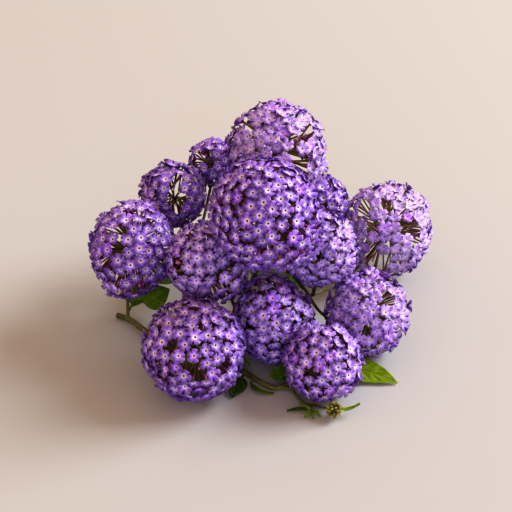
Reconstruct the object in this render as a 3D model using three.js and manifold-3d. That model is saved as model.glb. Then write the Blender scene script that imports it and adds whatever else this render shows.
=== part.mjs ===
// A cut shoot of heliotrope lying on a table: thirteen ball-shaped flower heads on one branched green stem,
// with the stem's leaves, the narrow bracts at its tip and a cluster of young buds.
// Millimetres, +Z up. The table is the plane z = 0. The origin is the flat spot on which the main stem lies,
// -Y is the side that is looked at, and the cut end of the stem points to -X.
import * as THREE from "three";
import { ConvexHull } from "three/addons/math/ConvexHull.js";
import { mergeVertices } from "three/addons/utils/BufferGeometryUtils.js";
import Module from "manifold-3d";

const wasm = await Module();
wasm.setup();

// Free air between two pieces that touch each other
const GAP = 0.3;

// The flower heads: middle of the ball, radius over the petals, and the way it faces, away from its stalk
const HEADS = {
  flower_head_top: { centre: [3, 19, 68], radius: 21.5, faces: [0, -0.45, 0.9] },
  flower_head_top_back: { centre: [9, 68, 66], radius: 21, faces: [0.15, 0.4, 0.9] },
  flower_head_front_left: { centre: [-24, -3.5, 19.6], radius: 20.5, faces: [0, -0.75, 0.66] },
  flower_head_front_middle: { centre: [7, 17, 17], radius: 17.5, faces: [-0.75, 0.2, 0.63] },
  flower_head_front_right: { centre: [26, -5.5, 15.4], radius: 16, faces: [0, -0.84, 0.54] },
  flower_head_right: { centre: [45, 21.5, 17.4], radius: 18, faces: [0.84, -0.1, 0.53] },
  flower_head_back_right: { centre: [58, 78, 20.8], radius: 21.5, faces: [0.55, 0.35, 0.76] },
  flower_head_middle_right: { centre: [26, 32, 42], radius: 16, faces: [0.1, -0.1, 0.99] },
  flower_head_middle_left: { centre: [-20, 26, 40], radius: 16.5, faces: [-0.5, -0.2, 0.84] },
  flower_head_left: { centre: [-50, 38, 38], radius: 19, faces: [0.15, -0.1, 0.98] },
  flower_head_back_left: { centre: [-35, 66, 46], radius: 14.5, faces: [-0.35, 0.3, 0.89] },
  flower_head_back: { centre: [-18, 86, 50], radius: 12, faces: [0.15, 0.6, 0.78] },
  flower_head_back_middle: { centre: [28, 80, 34], radius: 13, faces: [0.1, 0.7, 0.71] },
};

// A floret: a five-lobed star on a slender tube. They are about twice life size, so that fewer cover a head.
const LOBES = 5;
const FLORET_PITCH = 13.2; // from one floret to the next on a head of PITCH_RADIUS
const PITCH_RADIUS = 20; // a smaller head has smaller florets, by the root of its radius
const STAR_SHARE = 0.45; // a star's radius over the pitch
const NOTCH_SHARE = 0.76; // how far out the notches between two lobes lie
const THROAT_DEPTH = 0.9;
const FLARE_DEPTH = 2.3; // from the star's rim down to the top of its tube
const TUBE_SIDES = 3;
const TUBE_TOP_RADIUS = 1.1;
const TUBE_FOOT_RADIUS = 0.8;
const LEAST_HEIGHT = 0.72; // a floret pressed in further than this share by its neighbours is left out
const LEAST_FACING = 0.05; // a floret that faces a neighbour less than this isn't pressed in by it

// The hub in the middle of a head, which the tubes grow from, and its neck towards the stalk
const HUB_SHARE = 0.24;
const LEAST_HUB = 3.4;
const NECK_SHARE = 0.56;
const NECK_SIDES = 5;
const NECK_RADII = [1.1, 1]; // at the hub and at the stalk

// The stem lies on the table on a strip that is cut flat
const STEM_RADIUS = 1.4;
const BRANCH_RADIUS = 1.1;
const STALK_RADIUS = 0.85;
const TWIG_RADIUS = 0.6;
const STEM_HEIGHT = 1.15; // the middle of the main stem over the table
const STEM_SIDES = 7;
const STALK_SIDES = 5;
const STEP_LENGTH = 7;
const STALK_LEAD = 5; // the straight end of a stalk before the neck

// The block under z = 0 that the stem's flat strip is cut with
const TABLE_SIZE = 300;
const TABLE_DEPTH = 20;

// Where the stem forks, and the tip with the young buds
const FORK_LEFT = [-30, 41, 14];
const FORK_LOW = [-7, 29, 10];
const FORK_HIGH = [2, 41, 30];
const FORK_BACK = [24, 39, 14];
const FORK_RIGHT = [25, 8, 3];
const TIP = [21.8, -15.6, 1.8];
const BUD_TWIG_END = [27.3, -19.2, 3.2];

const STEMS = [
  {
    radius: STEM_RADIUS,
    sides: STEM_SIDES,
    points: [
      [-59.5, 41, 1.6], [-54.5, 39, 1.2], [-46, 30.6, STEM_HEIGHT], [-26, 17, STEM_HEIGHT],
      [-5.2, 4.9, STEM_HEIGHT], [0, 0, STEM_HEIGHT], [4, -3.4, STEM_HEIGHT], [7.5, -5.1, STEM_HEIGHT],
      [11, -4.2, 1.2], [16, 0.5, 1.5], FORK_RIGHT,
    ],
  },
  {
    radius: BRANCH_RADIUS,
    sides: STALK_SIDES,
    points: [[-19, 13, 1.4], [-12, 20, 4], FORK_LOW, [-3, 35, 20], FORK_HIGH],
  },
  { radius: BRANCH_RADIUS, sides: STALK_SIDES, points: [[-34, 22.3, 1.4], [-31, 30, 6], FORK_LEFT] },
  { radius: BRANCH_RADIUS, sides: STALK_SIDES, points: [FORK_LOW, [8, 35.5, 9], FORK_BACK] },
  {
    radius: TWIG_RADIUS,
    sides: STALK_SIDES,
    points: [[8, -5.2, 1.4], [13.4, -6.2, 1.4], [16.2, -10.8, 1.3], [19.3, -14.4, 1.3], TIP, BUD_TWIG_END],
  },
];

// Each head's stalk, from the stem through its bends; its straight end is added at the head
const STALKS = {
  flower_head_top: [FORK_HIGH, [3, 33, 43]],
  flower_head_top_back: [FORK_HIGH, [4, 51, 42]],
  flower_head_front_left: [[-27, 17.6, 1.6], [-25, 13.5, 7]],
  flower_head_front_middle: [FORK_RIGHT, [20, 11, 8]],
  flower_head_front_right: [FORK_RIGHT, [26, 8, 6]],
  flower_head_right: [FORK_HIGH, [12, 36, 29], [19.5, 30, 24], [27, 24, 15.5]],
  flower_head_back_right: [FORK_BACK, [35, 54, 9]],
  flower_head_middle_right: [FORK_BACK, [25, 37, 22]],
  flower_head_middle_left: [FORK_LOW, [-11, 31, 20]],
  flower_head_left: [[-54.3, 38.8, 1.4], [-54.2, 40, 8], [-53.2, 40.4, 16]],
  flower_head_back_left: [FORK_LEFT, [-30, 53, 24]],
  flower_head_back: [FORK_LEFT, [-25, 59, 26]],
  flower_head_back_middle: [FORK_BACK, [25, 53, 17]],
};

// Leaves: base by the stem, middle and tip of the midrib, half width, the way the upper face looks, the height
// of the waves along the edges, and the share of the length that is the leaf's stalk
const LEAF_THICKNESS = 0.8;
const LEAF_STATIONS = 8;
const LEAF_WAVES = 2.5; // waves along each edge
const LEFT_EDGE_PHASE = 1.3; // how far the left edge's waves are out of step with the right edge's
const LEAF_TROUGH = 0.12; // how much the edges rise over the midrib, as a share of the half width
const LEAF_BELLY = 0.75; // under 1 puts the widest place nearer to the base
const LEAF_FULLNESS = 0.85; // under 1 rounds the outline
const LEAVES = {
  leaf_right: {
    rib: [[27.6, 6, 3.2], [42, 3.4, 3.1], [56, -1.9, 0.9]],
    half: 5.4, up: [0.1, -0.4, 0.9], wave: 0.45, stalk: 0.14,
  },
  leaf_front_middle: {
    rib: [[15.2, 0.2, 3.7], [9.5, -1.8, 5.6], [5, -3.6, 5.4]],
    half: 3, up: [0.2, -0.8, 0.6], wave: 0.25, stalk: 0.1,
  },
  leaf_front_left: {
    rib: [[-5.2, 1.8, 1.6], [-7.4, -4.3, 2], [-9.6, -10.4, 0.9]],
    half: 3.8, up: [0.2, -0.1, 1], wave: 0.25, stalk: 0.1,
  },
  leaf_narrow: {
    rib: [[-2, -1.4, 1.4], [0.6, -6.6, 1.5], [7, -7.9, 0.9]],
    half: 1.3, up: [0.2, 0.1, 1], wave: 0.1, stalk: 0.1,
  },
  leaf_small: {
    rib: [[-9.8, 19.6, 5.8], [-9.4, 11.6, 7], [-2.2, 4, 5.4]],
    half: 2.4, up: [0.3, -0.4, 0.9], wave: 0.2, stalk: 0.2,
  },
  leaf_left_low: {
    rib: [[-52.7, 40, 7], [-44.5, 41, 10.5], [-36.5, 43.5, 13.5]],
    half: 5.6, up: [0.1, -0.85, 0.5], wave: 0.45, stalk: 0.3,
  },
  leaf_left_high: {
    rib: [[-53.8, 40.9, 4], [-50.5, 43.5, 10.5], [-46, 45, 17]],
    half: 3.8, up: [0.3, -0.8, 0.5], wave: 0.3, stalk: 0.2,
  },
  leaf_left_fork: {
    rib: [[-32.3, 41.3, 15.4], [-38, 46, 18], [-44, 48.5, 16]],
    half: 4.2, up: [0, -0.4, 0.9], wave: 0.3, stalk: 0.2,
  },
  leaf_back: {
    rib: [[22, 40.4, 14], [9, 57, 11], [-4, 75, 1]],
    half: 8.5, up: [0.1, 0, 1], wave: 0.7, stalk: 0.14,
  },
  leaf_back_left: {
    rib: [[-29.7, 43.2, 13.2], [-36, 60, 12], [-47, 77, 1]],
    half: 8, up: [0, 0.1, 1], wave: 0.7, stalk: 0.14,
  },
};
const ACROSS_LEAF = [-1, 0, 1];
const ACROSS_LARGE_LEAF = [-1, -0.5, 0, 0.5, 1];
const LARGE_HALF = 5.5; // a leaf with at least this half width has the finer division

// Bracts at the stem's tip: end point and half width of each narrow blade, out of one small knob beside the stem
const BRACT_THICKNESS = 0.7;
const BRACT_STATIONS = 4;
const BRACT_ARCH = 0.6; // how far the middle of a bract rises over the straight line
const BRACT_ROOT = [21.4, -17.5, 1.3];
const KNOB_RADIUS = 0.9;
const KNOB_LENGTH = 1.8;
const BRACTS = [
  { end: [11.9, -18, 0.9], half: 0.9 },
  { end: [18.6, -21.8, 0.8], half: 0.8 },
  { end: [21.8, -22.4, 0.9], half: 0.8 },
  { end: [24.6, -21.4, 1], half: 0.7 },
];

// Young buds: small green drops out of one hub, with one narrow bract
const BUD_CENTRE = [30, -20.8, 4.3];
const BUDS = 13;
const BUD_SIDES = 4;
const BUD_REACH = 4.2; // from the middle of the cluster to a bud's tip
const BUD_BELLY = 2.9; // from the middle to the widest part of a bud
const BUD_RADIUS = 0.9;
const BUD_FOOT_RADIUS = 0.45;
const BUD_HUB_RADIUS = 1.5;
const BUD_NECK_RADII = [0.7, 0.7];
const BUD_BRACT = { end: [39.7, -18.8, 5.4], half: 0.8, dip: 1.4 };

const V = (p) => new THREE.Vector3(...p);
const UP = new THREE.Vector3(0, 0, 1);
const DOWN = new THREE.Vector3(0, 0, -1);

// A three.js geometry from triangles that share their corner points
function geometryOf(triangles) {
  const index = new Map();
  triangles.flat().forEach((corner) => index.has(corner) || index.set(corner, index.size));
  return new THREE.BufferGeometry()
    .setAttribute("position", new THREE.Float32BufferAttribute([...index.keys()].flatMap((p) => p.toArray()), 3))
    .setIndex(triangles.flat().map((corner) => index.get(corner)));
}

// A closed solid from a three.js geometry, ready to be joined or cut
function solid(geometry) {
  const bare = new THREE.BufferGeometry().setAttribute("position", geometry.getAttribute("position"));
  if (geometry.index) bare.setIndex(geometry.index);
  const merged = mergeVertices(bare, 1e-4);
  const vertProperties = new Float32Array(merged.attributes.position.array);
  const triVerts = new Uint32Array(merged.index.array);
  return new wasm.Manifold(new wasm.Mesh({ numProp: 3, vertProperties, triVerts }));
}

// The joined solid as a three.js geometry again
function joined(parts) {
  const data = wasm.Manifold.union(parts).getMesh();
  return new THREE.BufferGeometry()
    .setAttribute("position", new THREE.BufferAttribute(data.vertProperties.slice(), 3))
    .setIndex(new THREE.BufferAttribute(data.triVerts.slice(), 1));
}

// Two directions square to the given one
function squareTo(direction) {
  const guide = Math.abs(direction.z) < 0.9 ? UP : new THREE.Vector3(1, 0, 0);
  const across = new THREE.Vector3().crossVectors(guide, direction).normalize();
  return [across, new THREE.Vector3().crossVectors(direction, across)];
}

// A ring of points round a middle, counter-clockwise as seen against the direction in which it grows
function ring(middle, [across, along], radii, turn = 0) {
  return radii.map((radius, i) => {
    const angle = turn + (2 * Math.PI * i) / radii.length;
    return middle.clone()
      .addScaledVector(across, radius * Math.cos(angle))
      .addScaledVector(along, radius * Math.sin(angle));
  });
}

const even = (radius, sides) => Array(sides).fill(radius);
const flip = (triangles) => triangles.map(([a, b, c]) => [a, c, b]);
const fan = (tip, loop) => loop.map((corner, i) => [tip, corner, loop[(i + 1) % loop.length]]);
const cap = (loop) => loop.slice(2).map((corner, i) => [loop[0], loop[i + 1], corner]);

// Triangles between a ring and a further one with as many points or more
function join(lower, upper) {
  const partner = (i) => lower[Math.round((i * lower.length) / upper.length) % lower.length];
  return upper.flatMap((corner, i) => {
    const next = upper[(i + 1) % upper.length];
    const sides = [[partner(i), next, corner]];
    if (partner(i) !== partner(i + 1)) sides.push([partner(i), partner(i + 1), next]);
    return sides;
  });
}

// Triangles of an open grid of points
function grid(rows) {
  return rows.slice(1).flatMap((next, i) =>
    next.slice(1).flatMap((corner, j) => [
      [rows[i][j], rows[i][j + 1], corner],
      [rows[i][j], corner, next[j]],
    ]));
}

// The points round the outside of a grid
function outline(rows) {
  return [
    ...rows[0],
    ...rows.slice(1).map((row) => row.at(-1)),
    ...rows.at(-1).slice(0, -1).reverse(),
    ...rows.slice(1, -1).reverse().map((row) => row[0]),
  ];
}

// A round rod through some middles, closed at both ends
function rod(middles, radii, sides) {
  let frame = null;
  const rings = middles.map((middle, i) => {
    const before = middles[Math.max(i - 1, 0)];
    const after = middles[Math.min(i + 1, middles.length - 1)];
    const ahead = after.clone().sub(before).normalize();
    if (frame) {
      const across = frame[0].clone().addScaledVector(ahead, -frame[0].dot(ahead)).normalize();
      frame = [across, new THREE.Vector3().crossVectors(ahead, across)];
    } else {
      frame = squareTo(ahead);
    }
    return ring(middle, frame, even(radii[i], sides));
  });
  const walls = rings.slice(1).flatMap((upper, i) => join(rings[i], upper));
  return solid(geometryOf([...flip(cap(rings[0])), ...walls, ...cap(rings.at(-1))]));
}

// A stretch of stem along a smooth curve
function stretch(points, radius, sides) {
  const curve = new THREE.CatmullRomCurve3(points, false, "centripetal");
  const middles = curve.getSpacedPoints(Math.max(3, Math.round(curve.getLength() / STEP_LENGTH)));
  return rod(middles, middles.map(() => radius), sides);
}

// Directions spread evenly over a ball. They start on a spiral round an axis and then push each other apart.
// One more direction, against the axis, is the stalk's: it pushes too, stays where it is and isn't returned.
const GOLDEN_ANGLE = Math.PI * (3 - Math.sqrt(5));
const PUSHES = 28;
const PUSH = 0.1;
const PUSH_FALLOFF = 4;
function evenDirections(axis, count) {
  const frame = squareTo(axis);
  const spacing = Math.sqrt((4 * Math.PI) / (count + 1) / Math.sin(Math.PI / 3));
  let spread = Array.from({ length: count + 1 }, (_, i) => {
    const rise = i < count ? 1 - (2 * i + 1) / (count + 1) : -1;
    const reach = Math.sqrt(1 - rise ** 2);
    return axis.clone().multiplyScalar(rise)
      .addScaledVector(frame[0], reach * Math.cos(i * GOLDEN_ANGLE))
      .addScaledVector(frame[1], reach * Math.sin(i * GOLDEN_ANGLE));
  });
  for (let push = 0; push < PUSHES; push++) {
    spread = spread.map((own, i) => {
      if (i === count) return own;
      const moved = own.clone();
      for (const other of spread) {
        if (other === own) continue;
        moved.addScaledVector(own.clone().sub(other), PUSH * (spacing / own.distanceTo(other)) ** PUSH_FALLOFF);
      }
      return moved.normalize();
    });
  }
  return spread.slice(0, count);
}

// A ball of things that all grow out of one hub. The hub is the convex hull of their foot rings.
function grown(things) {
  const owner = new Map(things.flatMap(({ foot }) => foot.map((corner) => [corner, foot])));
  const hub = new ConvexHull().setFromPoints([...owner.keys()]).faces
    .map(({ edge }) => [edge.head().point, edge.next.head().point, edge.prev.head().point])
    .filter((face) => new Set(face.map((corner) => owner.get(corner))).size > 1);
  return geometryOf([...hub, ...things.flatMap(({ walls }) => walls)]);
}

// How far from the middle a foot ring lies, for its corners to be on the hub's ball
const footRise = (hubRadius, footRadius) => Math.sqrt(hubRadius ** 2 - footRadius ** 2);

// The neck between a hub and its stalk, closed with a flat end
function neck(centre, direction, hubRadius, length, [topRadius, endRadius]) {
  const frame = squareTo(direction);
  const at = (rise) => centre.clone().addScaledVector(direction, rise);
  const foot = ring(at(footRise(hubRadius, topRadius)), frame, even(topRadius, NECK_SIDES));
  const end = ring(at(length), frame, even(endRadius, NECK_SIDES));
  return { foot, walls: [...join(foot, end), ...cap(end)] };
}

// One floret along a direction: a tube, a flare under the star and the dished star itself
function floret(centre, direction, hubRadius, height, starRadius, turn) {
  const frame = squareTo(direction);
  const at = (rise) => centre.clone().addScaledVector(direction, rise);
  const lobes = Array.from({ length: 2 * LOBES }, (_, i) => (i % 2 ? starRadius * NOTCH_SHARE : starRadius));
  const footHeight = footRise(hubRadius, TUBE_FOOT_RADIUS);
  const foot = ring(at(footHeight), frame, even(TUBE_FOOT_RADIUS, TUBE_SIDES), turn);
  const tubeTop = ring(at(height - FLARE_DEPTH), frame, even(TUBE_TOP_RADIUS, TUBE_SIDES), turn);
  const rim = ring(at(height), frame, lobes, turn);
  const throat = at(height - THROAT_DEPTH);
  return { foot, walls: [...join(foot, tubeTop), ...join(tubeTop, rim), ...fan(throat, rim)] };
}

// The planes that a head may not cross: the table, and the middle between it and each head that it presses on
function limitsOf(name) {
  const own = HEADS[name];
  const planes = [{ towards: DOWN, distance: own.centre[2] }];
  for (const [other, head] of Object.entries(HEADS)) {
    const apart = V(head.centre).sub(V(own.centre));
    const distance = apart.length();
    if (other === name || distance > own.radius + head.radius + GAP) continue;
    const share = (distance ** 2 + own.radius ** 2 - head.radius ** 2) / (2 * distance);
    planes.push({ towards: apart.normalize(), distance: share - GAP / 2 });
  }
  return planes;
}

// How high a star can stand in a direction without crossing a plane
function heightUnder({ towards, distance }, direction, starRadius) {
  const facing = direction.dot(towards);
  if (facing < LEAST_FACING) return Infinity;
  return (distance - starRadius * Math.sqrt(1 - facing ** 2)) / facing;
}

// A flower head: florets spread over the ball round the hub
function flowerHead(name) {
  const { radius } = HEADS[name];
  const centre = V(HEADS[name].centre);
  const axis = V(HEADS[name].faces).normalize();
  const pitch = FLORET_PITCH * Math.sqrt(radius / PITCH_RADIUS);
  const starRadius = pitch * STAR_SHARE;
  const starHeight = Math.sqrt(radius ** 2 - starRadius ** 2);
  const count = Math.round((4 * Math.PI * radius ** 2) / (pitch ** 2 * Math.sin(Math.PI / 3))) - 1;
  const limits = limitsOf(name);
  const hubRadius = Math.max(LEAST_HUB, radius * HUB_SHARE);
  const things = [neck(centre, axis.clone().negate(), hubRadius, radius * NECK_SHARE, NECK_RADII)];
  evenDirections(axis, count).forEach((direction, i) => {
    const height = Math.min(starHeight, ...limits.map((limit) => heightUnder(limit, direction, starRadius)));
    if (height < starHeight * LEAST_HEIGHT) return;
    things.push(floret(centre, direction, hubRadius, height, starRadius * (height / starHeight), i));
  });
  return grown(things);
}

// The whole stem: main stem, branches and stalks in one solid, cut flat where it lies on the table
function stem() {
  const parts = STEMS.map(({ radius, sides, points }) => stretch(points.map(V), radius, sides));
  for (const [name, route] of Object.entries(STALKS)) {
    const axis = V(HEADS[name].faces).normalize();
    const end = V(HEADS[name].centre).addScaledVector(axis, -HEADS[name].radius * NECK_SHARE - GAP);
    const lead = end.clone().addScaledVector(axis, -STALK_LEAD);
    parts.push(stretch([...route.map(V), lead, end], STALK_RADIUS, STALK_SIDES));
  }
  const table = new THREE.BoxGeometry(TABLE_SIZE, TABLE_SIZE, TABLE_DEPTH).translate(0, 0, -TABLE_DEPTH / 2);
  return joined([wasm.Manifold.union(parts).subtract(solid(table))]);
}

// Half width along a leaf, over its greatest: a short stalk, an oval blade and a drawn-out tip
function leafOutline(along, stalk) {
  if (along < stalk) return 0;
  const t = (along - stalk) / (1 - stalk);
  return Math.sin(Math.PI * t ** LEAF_BELLY) ** LEAF_FULLNESS;
}

// A blade of even thickness along a curved midrib, with the same division on its upper and its lower face
function blade({ rib, half, up, wave, stalk }, stations, thickness, across) {
  const [base, middle, tip] = rib.map(V);
  const control = middle.clone().multiplyScalar(2).addScaledVector(base, -0.5).addScaledVector(tip, -0.5);
  const curve = new THREE.QuadraticBezierCurve3(base, control, tip);
  const face = (offset) => Array.from({ length: stations + 1 }, (_, i) => {
    const along = i / stations;
    const ahead = curve.getTangent(along);
    const side = new THREE.Vector3().crossVectors(ahead, V(up)).normalize();
    const normal = new THREE.Vector3().crossVectors(side, ahead);
    const width = Math.max(thickness * 0.5, half * leafOutline(along, stalk));
    return across.map((share) => {
      const phase = share > 0 ? 0 : LEFT_EDGE_PHASE;
      const ripple = wave * Math.abs(share) * Math.sin(2 * Math.PI * LEAF_WAVES * along + phase);
      const lift = offset + (ripple + half * LEAF_TROUGH * share ** 2) * (width / half);
      return curve.getPoint(along).addScaledVector(side, share * width).addScaledVector(normal, lift);
    });
  });
  const upper = face(thickness / 2);
  const lower = face(-thickness / 2);
  return geometryOf([...grid(upper), ...flip(grid(lower)), ...join(outline(lower), outline(upper))]);
}

function leaf(shape) {
  const across = shape.half < LARGE_HALF ? ACROSS_LEAF : ACROSS_LARGE_LEAF;
  return blade(shape, LEAF_STATIONS, LEAF_THICKNESS, across);
}

// A narrow bract from a root point, arched up or dipped
function bract(root, { end, half }, arch) {
  const middle = V(root).lerp(V(end), 0.5).addScaledVector(UP, arch);
  const shape = { rib: [root, middle.toArray(), end], half, up: [0, 0, 1], wave: 0, stalk: 0.1 };
  return solid(blade(shape, BRACT_STATIONS, BRACT_THICKNESS, ACROSS_LEAF));
}

function tipBracts() {
  const root = V(BRACT_ROOT);
  const ends = [-KNOB_LENGTH / 2, KNOB_LENGTH / 2].map((x) => root.clone().add(new THREE.Vector3(x, 0, 0)));
  const knob = rod(ends, even(KNOB_RADIUS, 2), STALK_SIDES);
  return joined([knob, ...BRACTS.map((one) => bract(BRACT_ROOT, one, BRACT_ARCH))]);
}

// A bud along a direction: a foot, a belly and a tip
function bud(centre, direction, reach) {
  const frame = squareTo(direction);
  const at = (rise) => centre.clone().addScaledVector(direction, rise);
  const foot = ring(at(footRise(BUD_HUB_RADIUS, BUD_FOOT_RADIUS)), frame, even(BUD_FOOT_RADIUS, BUD_SIDES));
  const belly = ring(at(BUD_BELLY), frame, even(BUD_RADIUS, BUD_SIDES));
  return { foot, walls: [...join(foot, belly), ...fan(at(reach), belly)] };
}

function budCluster() {
  const centre = V(BUD_CENTRE);
  const toTwig = V(BUD_TWIG_END).sub(centre);
  const twigWay = toTwig.clone().normalize();
  const things = [neck(centre, twigWay, BUD_HUB_RADIUS, toTwig.length() - GAP, BUD_NECK_RADII)];
  for (const direction of evenDirections(twigWay.clone().negate(), BUDS)) {
    things.push(bud(centre, direction, BUD_REACH));
  }
  return joined([solid(grown(things)), bract(BUD_CENTRE, BUD_BRACT, -BUD_BRACT.dip)]);
}

const petalFinish = new THREE.MeshStandardMaterial({ color: 0x7a55b8, roughness: 0.6, metalness: 0 });
const stemFinish = new THREE.MeshStandardMaterial({ color: 0x6c7034, roughness: 0.7, metalness: 0 });
const leafFinish = new THREE.MeshStandardMaterial({ color: 0x4f7420, roughness: 0.6, metalness: 0 });
const budFinish = new THREE.MeshStandardMaterial({ color: 0x8f9450, roughness: 0.7, metalness: 0 });

const shoot = new THREE.Group();

// Adds a named, flat-shaded piece to the shoot
function add(name, geometry, material) {
  geometry.computeVertexNormals();
  const piece = new THREE.Mesh(geometry, material);
  piece.name = name;
  shoot.add(piece);
}

add("stem", stem(), stemFinish);
for (const name of Object.keys(HEADS)) add(name, flowerHead(name), petalFinish);
for (const [name, shape] of Object.entries(LEAVES)) add(name, leaf(shape), leafFinish);
add("tip_bracts", tipBracts(), leafFinish);
add("bud_cluster", budCluster(), budFinish);

export default shoot;
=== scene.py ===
# %% [markdown]
# A cut shoot of heliotrope lies on a pale table. Thirteen ball-shaped flower heads grow on one branched
# stem. The frame gives every piece its place. This script replaces each plain solid with a finer piece that
# keeps its form: hundreds of small five-lobed florets on slender tubes, a grown stem, veined leaves and
# young buds. Everything is in metres, and MM turns the sizes that a gardener would read off a ruler into
# metres.

# %% The frame
import math
import random
from collections import namedtuple

import bmesh
import bpy
import numpy as np
from mathutils import Matrix, Vector, noise


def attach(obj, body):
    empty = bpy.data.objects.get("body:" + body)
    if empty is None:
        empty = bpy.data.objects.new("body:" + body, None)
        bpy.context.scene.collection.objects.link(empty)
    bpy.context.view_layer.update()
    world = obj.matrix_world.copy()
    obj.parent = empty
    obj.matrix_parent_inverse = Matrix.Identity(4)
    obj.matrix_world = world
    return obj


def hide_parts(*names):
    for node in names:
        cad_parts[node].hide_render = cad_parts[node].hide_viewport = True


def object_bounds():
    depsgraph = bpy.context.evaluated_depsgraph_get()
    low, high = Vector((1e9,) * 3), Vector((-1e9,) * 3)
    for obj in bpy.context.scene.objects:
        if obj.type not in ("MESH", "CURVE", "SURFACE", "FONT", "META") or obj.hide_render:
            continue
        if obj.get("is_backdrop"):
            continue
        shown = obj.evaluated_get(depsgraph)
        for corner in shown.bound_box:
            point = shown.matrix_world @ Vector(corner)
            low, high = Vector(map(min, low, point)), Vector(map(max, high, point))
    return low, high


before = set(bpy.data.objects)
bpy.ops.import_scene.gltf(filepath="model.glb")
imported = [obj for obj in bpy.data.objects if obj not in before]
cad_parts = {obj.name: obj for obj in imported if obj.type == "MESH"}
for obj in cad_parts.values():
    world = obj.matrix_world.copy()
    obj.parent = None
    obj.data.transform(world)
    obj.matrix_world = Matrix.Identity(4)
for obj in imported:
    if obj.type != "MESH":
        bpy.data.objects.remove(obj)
cad_box = [list(corner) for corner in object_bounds()]
bpy.ops.object.select_all(action="DESELECT")
MM = 0.001
print("frame:", len(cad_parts), "solids, box in mm", [[round(x / MM, 1) for x in c] for c in cad_box])

# %% [markdown]
# A wide lens close by would swell the heads in front. A portrait lens farther away shows the heads behind
# only a little smaller than those in front. It looks down on the shoot at 35 degrees.

# %% Camera
TARGET = Vector((0, 30, 40)) * MM
CAMERA_DISTANCE = 460 * MM
CAMERA_ELEVATION = math.radians(35)
LENS_MM, SENSOR_MM = 81, 36
NEAREST = 10 * MM

camera_data = bpy.data.cameras.new("camera")
camera_data.lens = LENS_MM
camera_data.sensor_width = SENSOR_MM
camera_data.clip_start = NEAREST
camera = bpy.data.objects.new("camera", camera_data)
bpy.context.collection.objects.link(camera)
towards_camera = Vector((0, -math.cos(CAMERA_ELEVATION), math.sin(CAMERA_ELEVATION)))
camera.location = TARGET + CAMERA_DISTANCE * towards_camera
camera.rotation_euler = (-towards_camera).to_track_quat("-Z", "Y").to_euler()
bpy.context.scene.camera = camera
print("camera at", [round(x / MM) for x in camera.location], "mm")

# %% [markdown]
# One large soft lamp stands at the right, a little behind the shoot. It draws a broad soft shadow to the
# left and lights the right side of every head. A small lamp would do this too, but its shadow would have a
# hard edge. The sky is a warm cream that fills the shadows, and a weak cool lamp in front gives the shaded
# petals their blue. The Standard view keeps violet as saturated as petals are, and its High Contrast look
# deepens the gaps between the florets.

# %% Lamp, sky and table
# Distances and sizes are in metres, powers in watts
LAMP_DISTANCE = 3.4
LAMP_AZIMUTH = math.radians(18)
LAMP_ELEVATION = math.radians(36)
LAMP_SIZE = 1.75
LAMP_POWER = 141
FILL_AZIMUTH = math.radians(-90)
FILL_ELEVATION = math.radians(18)
FILL_SIZE = 2.4
FILL_POWER = 32
SKY_STRENGTH = 0.72
TABLE_SIZE = 6


def linear(hex_colour):
    """An sRGB colour such as "#7a55b8" as the linear colour that Blender's sockets hold."""
    parts = [int(hex_colour[i:i + 2], 16) / 255 for i in (1, 3, 5)]
    return (*[p / 12.92 if p <= 0.04045 else ((p + 0.055) / 1.055) ** 2.4 for p in parts], 1.0)


def add_node(tree, kind, inputs=None, stops=None, out=0, **settings):
    """Adds a node and returns one of its outputs. inputs are its values or links, stops a ramp's colours."""
    node = tree.nodes.new("ShaderNode" + kind)
    for name, value in settings.items():
        setattr(node, name, value)
    for name, value in (inputs or {}).items():
        if isinstance(value, bpy.types.NodeSocket):
            tree.links.new(value, node.inputs[name])
        else:
            node.inputs[name].default_value = value
    # A new ramp has its first two stops already
    for i, (place, colour) in enumerate(stops or []):
        element = node.color_ramp.elements[i] if i < 2 else node.color_ramp.elements.new(place)
        element.position = place
        element.color = linear(colour)
    return node.outputs[out]


def new_material(name, constants):
    """A material with its node tree and its main shader, whose own sockets hold the constants."""
    material = bpy.data.materials.new(name)
    material.use_nodes = True
    shader = material.node_tree.nodes["Principled BSDF"]
    for socket, value in constants.items():
        shader.inputs[socket].default_value = value
    return material, material.node_tree, shader


def add_lamp(name, azimuth, elevation, size, power, hex_colour):
    """A square soft lamp that looks at the shoot from a compass direction and a height."""
    lamp_data = bpy.data.lights.new(name, "AREA")
    lamp_data.size = size
    lamp_data.energy = power
    lamp_data.color = linear(hex_colour)[:3]
    lamp = bpy.data.objects.new(name, lamp_data)
    bpy.context.collection.objects.link(lamp)
    level = math.cos(elevation)
    towards_lamp = Vector((level * math.cos(azimuth), level * math.sin(azimuth), math.sin(elevation)))
    lamp.location = TARGET + LAMP_DISTANCE * towards_lamp
    lamp.rotation_euler = (-towards_lamp).to_track_quat("-Z", "Y").to_euler()
    return lamp


key_lamp = add_lamp("soft_lamp", LAMP_AZIMUTH, LAMP_ELEVATION, LAMP_SIZE, LAMP_POWER, "#eef6ff")
fill_lamp = add_lamp("cool_fill", FILL_AZIMUTH, FILL_ELEVATION, FILL_SIZE, FILL_POWER, "#a8c4ff")

sky = bpy.data.worlds.new("sky")
bpy.context.scene.world = sky
sky.use_nodes = True
sky.node_tree.nodes["Background"].inputs["Color"].default_value = linear("#ffdcba")
sky.node_tree.nodes["Background"].inputs["Strength"].default_value = SKY_STRENGTH
bpy.context.scene.view_settings.view_transform = "Standard"
bpy.context.scene.view_settings.look = "High Contrast"

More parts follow.
